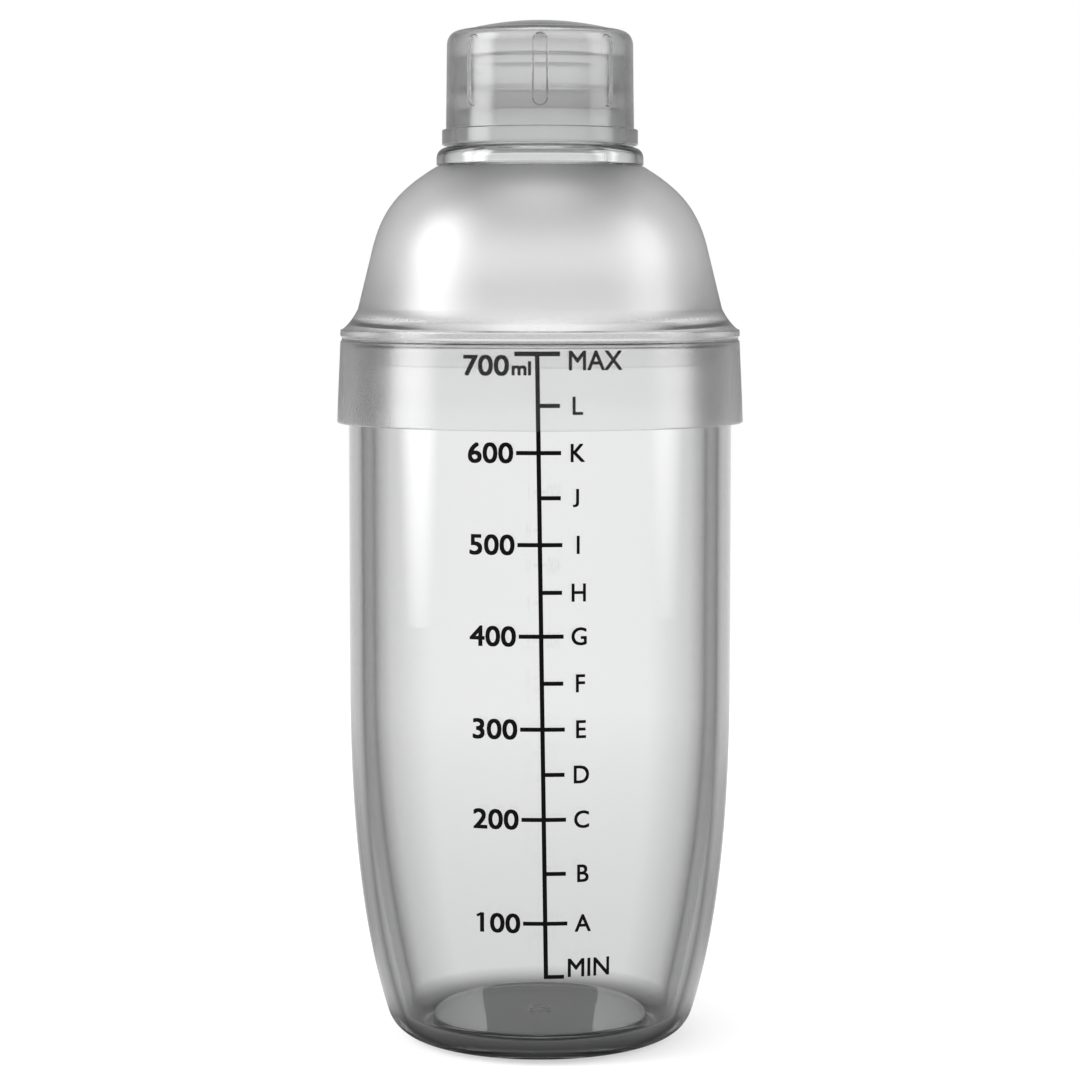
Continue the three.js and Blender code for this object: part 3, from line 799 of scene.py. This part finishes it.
def grip_tree():
    """Draws the outside in to a ring of shallow upright pockets with round ends, flat floors and steep
    sides."""
    sizes = (
        "Count", "Half Width", "Side Width", "Outside Radius", "Floor Radius", "Foot Height", "Head Height")
    tree, given = begin_tree("cap_grips", sizes, "Plastic")
    math_node = "ShaderNodeMath"
    here = add(tree, "GeometryNodeInputPosition").outputs[0]
    x, y, z = add(tree, "ShaderNodeSeparateXYZ", {0: here}).outputs
    level = add(tree, "ShaderNodeVectorMath", {0: here, 1: (1, 1, 0)}, operation="MULTIPLY").outputs[0]
    radius = add(tree, "ShaderNodeVectorMath", {0: level}, operation="LENGTH").outputs["Value"]
    turn = add(tree, math_node, {0: y, 1: x}, operation="ARCTAN2").outputs[0]
    half = add(tree, math_node, {0: math.pi, 1: given["Count"]}, operation="DIVIDE").outputs[0]
    minus_half = add(tree, math_node, {0: half, 1: -1.0}, operation="MULTIPLY").outputs[0]
    nearest = add(tree, math_node, {0: turn, 1: half, 2: minus_half}, operation="WRAP").outputs[0]
    sine = add(tree, math_node, {0: nearest}, operation="SINE").outputs[0]
    aside = add(tree, math_node, {0: sine, 1: radius}, operation="MULTIPLY").outputs[0]
    under = add(tree, math_node, {0: given["Foot Height"], 1: z}, operation="SUBTRACT").outputs[0]
    over = add(tree, math_node, {0: z, 1: given["Head Height"]}, operation="SUBTRACT").outputs[0]
    past_end = add(tree, math_node, {0: under, 1: over}, operation="MAXIMUM").outputs[0]
    past = add(tree, math_node, {0: past_end, 1: 0.0}, operation="MAXIMUM").outputs[0]
    offset = add(tree, "ShaderNodeCombineXYZ", {0: aside, 1: past}).outputs[0]
    from_middle = add(tree, "ShaderNodeVectorMath", {0: offset}, operation="LENGTH").outputs["Value"]
    side_foot = add(tree, math_node, {
        0: given["Half Width"], 1: given["Side Width"]}, operation="SUBTRACT").outputs[0]
    pocket = add(tree, "ShaderNodeMapRange", {
        "Value": from_middle, 1: side_foot, 2: given["Half Width"], 3: given["Floor Radius"],
        4: given["Outside Radius"]}, interpolation_type="SMOOTHSTEP").outputs[0]
    drawn_in = add(tree, math_node, {0: radius, 1: pocket}, operation="MINIMUM").outputs[0]
    share = add(tree, math_node, {0: drawn_in, 1: radius}, operation="DIVIDE").outputs[0]
    scale_by = add(tree, "ShaderNodeCombineXYZ", {0: share, 1: share, 2: 1.0}).outputs[0]
    moved = add(tree, "ShaderNodeVectorMath", {0: here, 1: scale_by}, operation="MULTIPLY").outputs[0]
    shaped = add(tree, "GeometryNodeSetPosition", {
        "Geometry": given["Geometry"], "Position": moved}).outputs[0]
    return end_tree(tree, shaped, given["Plastic"])


def cored_polycarbonate():
    """Clear polycarbonate that is polished outside and matt on its core side, so that what stands inside the
    cap shows only as soft level bands, while the outlines of the grips stay crisp. Painted shade by slant
    darkens it towards its outline."""
    core_edge = [(CAP_BORE_R + skin) * MM for skin in CORE_SKIN]
    core_top = [(CAP_CEILING_Z + skin) * MM for skin in CORE_SKIN]
    material, tree = blank_material("clear_polycarbonate_matt_core")
    place = add(tree, "ShaderNodeTexCoord").outputs["Object"]
    height = add(tree, "ShaderNodeSeparateXYZ", {0: place}).outputs["Z"]
    level = add(tree, "ShaderNodeVectorMath", {0: place, 1: (1, 1, 0)}, operation="MULTIPLY").outputs[0]
    radius = add(tree, "ShaderNodeVectorMath", {0: level}, operation="LENGTH").outputs["Value"]
    beside = add(tree, "ShaderNodeMapRange", {"Value": radius, 1: core_edge[0], 2: core_edge[1]}).outputs[0]
    above = add(tree, "ShaderNodeMapRange", {"Value": height, 1: core_top[0], 2: core_top[1]}).outputs[0]
    outside = add(tree, "ShaderNodeMath", {0: beside, 1: above}, operation="MAXIMUM").outputs[0]
    rough = add(tree, "ShaderNodeMapRange", {"Value": outside, 3: 0.45, 4: 0.04}).outputs[0]
    flow = add(tree, "ShaderNodeTexNoise", {
        "Vector": place, "Scale": 1 / (FLOW_WAVE * MM), "Detail": 2.0}).outputs[0]
    bump = add(tree, "ShaderNodeBump", {"Height": flow, "Distance": CAP_WAVE_HEIGHT * MM}).outputs[0]
    # Painted shade by slant.
    edge_shade = painted_edge_shade(tree, CAP_EDGE_SHADE)
    surface = add(tree, "ShaderNodeBsdfPrincipled", {
        "Base Color": edge_shade, "Specular Tint": linear("#a2a2a2"), "Roughness": rough, "IOR": POLYCARBONATE_IOR,
        "Transmission Weight": 1.0, "Normal": bump}).outputs[0]
    depth = add(tree, "ShaderNodeVolumeAbsorption", {
        "Color": linear(POLYCARBONATE_CAST), "Density": CAP_ABSORPTION}).outputs[0]
    add(tree, "ShaderNodeOutputMaterial", {"Surface": surface, "Volume": depth})
    return material


pitch = 2 * math.pi / GRIPS
groove_turn = GRIP_FIELD * GRIP_HALF_WIDTH / CAP_TOP_R
groove_turns = np.linspace(-groove_turn, groove_turn, GRIP_STEPS)
plain_turns = np.linspace(groove_turn, pitch - groove_turn, PLAIN_STEPS)[1:-1]
cap_turns = np.concatenate([k * pitch + np.concatenate([groove_turns, plain_turns]) for k in range(GRIPS)])
cap_edge_z = CAP_TOP_Z - CAP_TOP_RISE
cap_edge_r = CAP_TOP_R - CAP_CORNER
cap_side_top = cap_edge_z - CAP_CORNER
side_slope = (CAP_TOP_R - CAP_FOOT_R) / (cap_side_top - FLANGE_TOP_Z)
# Rows of points up the side, as where they start and end and how many: closest where the pockets end.
side_rows = [
    (FLANGE_TOP_Z + 1, GRIP_FOOT_Z - 0.6, 6),
    (GRIP_FOOT_Z - 0.4, GRIP_FOOT_Z + 2.2, 22),
    (GRIP_FOOT_Z + 3, GRIP_HEAD_Z - 3, 8),
    (GRIP_HEAD_Z - 2.4, cap_side_top - 0.1, 16),
]
side_heights = np.concatenate([np.linspace(*row) for row in side_rows])
cap_side = [(CAP_FOOT_R + side_slope * (z - FLANGE_TOP_Z), z) for z in side_heights]
cap_outline = soften([
    (0, CAP_CEILING_Z),
    (CAP_BORE_R, CAP_CEILING_Z, CAP_INNER_CORNER / 2),
    (CAP_BORE_R, CAP_FOOT_Z, 2 * EDGE_ROUND),
    (FLANGE_R, CAP_FOOT_Z, EDGE_ROUND),
    (FLANGE_R, FLANGE_TOP_Z, EDGE_ROUND),
    (CAP_FOOT_R, FLANGE_TOP_Z, EDGE_ROUND),
    *cap_side,
    *bezier([(CAP_TOP_R, cap_side_top), (CAP_TOP_R, cap_edge_z), (cap_edge_r, cap_edge_z)], steps=28),
    *bezier([(cap_edge_r, cap_edge_z), (cap_edge_r / 2, CAP_TOP_Z), (0, CAP_TOP_Z)], steps=24)[1:],
])
cap_plastic = cored_polycarbonate()
cap_mesh = grown("clear_pour_cap", turned("cap_blank", cap_outline, cap_turns), grip_tree(), {
    "Count": float(GRIPS), "Half Width": GRIP_HALF_WIDTH * MM, "Side Width": GRIP_SIDE * MM,
    "Outside Radius": FLANGE_R * MM, "Floor Radius": (CAP_TOP_R - GRIP_DEPTH) * MM,
    "Foot Height": (GRIP_FOOT_Z + GRIP_HALF_WIDTH) * MM, "Head Height": (GRIP_HEAD_Z - GRIP_HALF_WIDTH) * MM,
    "Plastic": cap_plastic})
cap = placed(cap_mesh, cap_plastic)
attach(cap, "cap")
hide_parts("pour_cap")


# Studio
# A pale floor that runs out to white, with painted shade near the object and a painted shadow under the
# foot where it is seen through the plastic or in reflections, a white room that mirrors dimly, a grey
# strip far behind and above the picture that the cup's floor mirrors, and soft boxes at left, right and top.
FLOOR_R = 4.0
FLOOR_SIDES = 96
FLOOR_Z = -0.0002
WHITE_FROM = (0.45, 1.1)
# Painted shadow under the foot and painted shade near the object, seen only through the plastic or in
# reflections.
FOOT_SHADE = (0.026, 0.057)
FOOT_LEVEL = 0.08
FLOOR_SHADE_FROM = (0.06, 0.5)
FLOOR_SHADE_LEVELS = (0.8, 0.95)
ROOM_LEVEL = 0.8
MIRROR_LEVEL = 0.4
FLOOR_SHEEN = 0.5
STRIP_RISE = (0.19, 0.30)
STRIP_SPREAD = 0.26
STRIP_LEVEL = 0.47
SOFT_BOXES = [
    ("left_soft_box", (-0.80, -0.20, 0.52), (0, 0, 0.42), (0.75, 1.20), 17),
    ("right_soft_box", (0.85, -0.16, 0.50), (0, 0, 0.40), (0.70, 1.15), 8),
    ("top_soft_box", (0, -0.1, 1.2), (0, 0, 0.1), (0.9, 0.9), 6.5),
]


def pale_floor():
    """Matt pale laminate near the object that runs out to plain white. Seen through the plastic or in a
    reflection it glows with painted shade: a light grey that fades out with distance, and a painted shadow
    under the foot."""
    material, tree = blank_material("pale_studio_floor")
    place = add(tree, "ShaderNodeTexCoord").outputs["Object"]
    ray = add(tree, "ShaderNodeLightPath").outputs
    bent = add(tree, "ShaderNodeMath", {
        0: ray["Is Glossy Ray"], 1: ray["Is Transmission Ray"]}, operation="MAXIMUM").outputs[0]
    distance = add(tree, "ShaderNodeVectorMath", {0: place}, operation="LENGTH").outputs["Value"]
    whiter = add(tree, "ShaderNodeMapRange", {
        "Value": distance, 1: WHITE_FROM[0], 2: WHITE_FROM[1], 3: FLOOR_SHEEN, 4: 1.0},
        interpolation_type="SMOOTHSTEP").outputs[0]
    # Painted shadow under the foot, as a glow level.
    shade = add(tree, "ShaderNodeMapRange", {
        "Value": distance, 1: FOOT_SHADE[0], 2: FOOT_SHADE[1], 3: FOOT_LEVEL, 4: 1.0},
        interpolation_type="SMOOTHSTEP").outputs[0]
    # Painted shade that lightens with distance.
    grey = add(tree, "ShaderNodeMapRange", {
        "Value": distance, 1: FLOOR_SHADE_FROM[0], 2: FLOOR_SHADE_FROM[1],
        3: FLOOR_SHADE_LEVELS[0], 4: FLOOR_SHADE_LEVELS[1]}).outputs[0]
    through = add(tree, "ShaderNodeMath", {0: shade, 1: grey}, operation="MULTIPLY").outputs[0]
    level = add(tree, "ShaderNodeMix", {0: bent, 2: 1.0, 3: through}).outputs[0]
    plain = add(tree, "ShaderNodeMath", {0: whiter, 1: bent}, operation="MAXIMUM").outputs[0]
    near = add(tree, "ShaderNodeBsdfDiffuse", {"Color": linear("#f6f6f6")}).outputs[0]
    glow = add(tree, "ShaderNodeEmission", {"Color": (1, 1, 1, 1), "Strength": level}).outputs[0]
    mixed = add(tree, "ShaderNodeMixShader", {0: plain, 1: near, 2: glow})
    add(tree, "ShaderNodeOutputMaterial", {"Surface": mixed.outputs[0]})
    return material


def soft_box(name, place, aim, size, power):
    """An area lamp behind a diffuser that is brightest in its middle and fades out towards its edges. It
    shows in mirrors, but not straight or through the plastic."""
    light = bpy.data.lights.new(name, "AREA")
    light.shape = "RECTANGLE"
    light.size, light.size_y = size
    light.energy = power
    light.use_nodes = True
    tree = light.node_tree
    tree.nodes.clear()
    spot = add(tree, "ShaderNodeNewGeometry").outputs["Parametric"]
    across = add(tree, "ShaderNodeMapping", {
        0: spot, "Location": (-1, -1, 0), "Scale": (2, 2, 0)}).outputs[0]
    offset = add(tree, "ShaderNodeVectorMath", {0: across}, operation="LENGTH").outputs["Value"]
    glow = add(tree, "ShaderNodeMapRange", {
        "Value": offset, 1: 0.45, 2: 1.0, 3: 2.0, 4: 0.0}, interpolation_type="SMOOTHSTEP").outputs[0]
    emission = add(tree, "ShaderNodeEmission", {"Strength": glow})
    add(tree, "ShaderNodeOutputLight", {0: emission.outputs[0]})
    lamp = bpy.data.objects.new(name, light)
    lamp.location = place
    lamp.rotation_euler = (lamp.location - Vector(aim)).to_track_quat("Z", "Y").to_euler()
    lamp.visible_camera = False
    lamp.visible_transmission = False
    bpy.context.scene.collection.objects.link(lamp)


floor_mesh = bpy.data.meshes.new("studio_floor")
floor_edge = [(FLOOR_R * math.cos(t), FLOOR_R * math.sin(t), FLOOR_Z) for t in even_turns(FLOOR_SIDES)]
floor_mesh.from_pydata(floor_edge, [], [range(FLOOR_SIDES)])
floor = placed(floor_mesh, pale_floor())

for box in SOFT_BOXES:
    soft_box(*box)

world = bpy.data.worlds.new("studio_room")
bpy.context.scene.world = world
world.use_nodes = True
room = world.node_tree
room.nodes.clear()
ray = add(room, "ShaderNodeLightPath").outputs
seen = add(room, "ShaderNodeMath", {
    0: ray["Is Camera Ray"], 1: ray["Is Transmission Ray"]}, operation="MAXIMUM").outputs[0]
dim = add(room, "ShaderNodeMix", {0: ray["Is Glossy Ray"], 2: ROOM_LEVEL, 3: MIRROR_LEVEL}).outputs[0]
white = add(room, "ShaderNodeMath", {0: seen, 1: dim}, operation="MAXIMUM").outputs[0]
towards = add(room, "ShaderNodeTexCoord").outputs["Generated"]
way = add(room, "ShaderNodeSeparateXYZ", {0: towards}).outputs
aside = add(room, "ShaderNodeMath", {0: way["X"], 1: way["Z"]}, operation="DIVIDE").outputs[0]
rise = add(room, "ShaderNodeMath", {0: way["Z"], 1: way["Y"]}, operation="DIVIDE").outputs[0]
across = add(room, "ShaderNodeMath", {0: aside, 1: 0.0, 2: STRIP_SPREAD}, operation="COMPARE").outputs[0]
along = add(room, "ShaderNodeMath", {
    0: rise, 1: sum(STRIP_RISE) / 2, 2: (STRIP_RISE[1] - STRIP_RISE[0]) / 2}, operation="COMPARE").outputs[0]
strip = add(room, "ShaderNodeMath", {0: across, 1: along}, operation="MULTIPLY").outputs[0]
strength = add(room, "ShaderNodeMix", {0: strip, 2: white, 3: STRIP_LEVEL}).outputs[0]
background = add(room, "ShaderNodeBackground", {"Color": (1, 1, 1, 1), "Strength": strength})
add(room, "ShaderNodeOutputWorld", {"Surface": background.outputs[0]})


# Camera
# A long lens a little above the cup's rim, looking slightly down, as a product shot is taken.
CAMERA_PLACE = (0, -0.700, 0.1714)
CAMERA_DOWN = 4.794
CAMERA_LENS = 103.33
SENSOR_WIDTH = 36
GLASS_BOUNCES = 24
MIRROR_BOUNCES = 8
view = bpy.data.cameras.new("product_camera")
view.sensor_width = SENSOR_WIDTH
view.lens = CAMERA_LENS
camera = bpy.data.objects.new("product_camera", view)
camera.location = CAMERA_PLACE
camera.rotation_euler = (math.radians(90 - CAMERA_DOWN), 0, 0)
bpy.context.scene.collection.objects.link(camera)
bpy.context.scene.camera = camera
bpy.context.scene.view_settings.view_transform = "Standard"
bpy.context.scene.cycles.max_bounces = GLASS_BOUNCES
bpy.context.scene.cycles.transmission_bounces = GLASS_BOUNCES
bpy.context.scene.cycles.glossy_bounces = MIRROR_BOUNCES
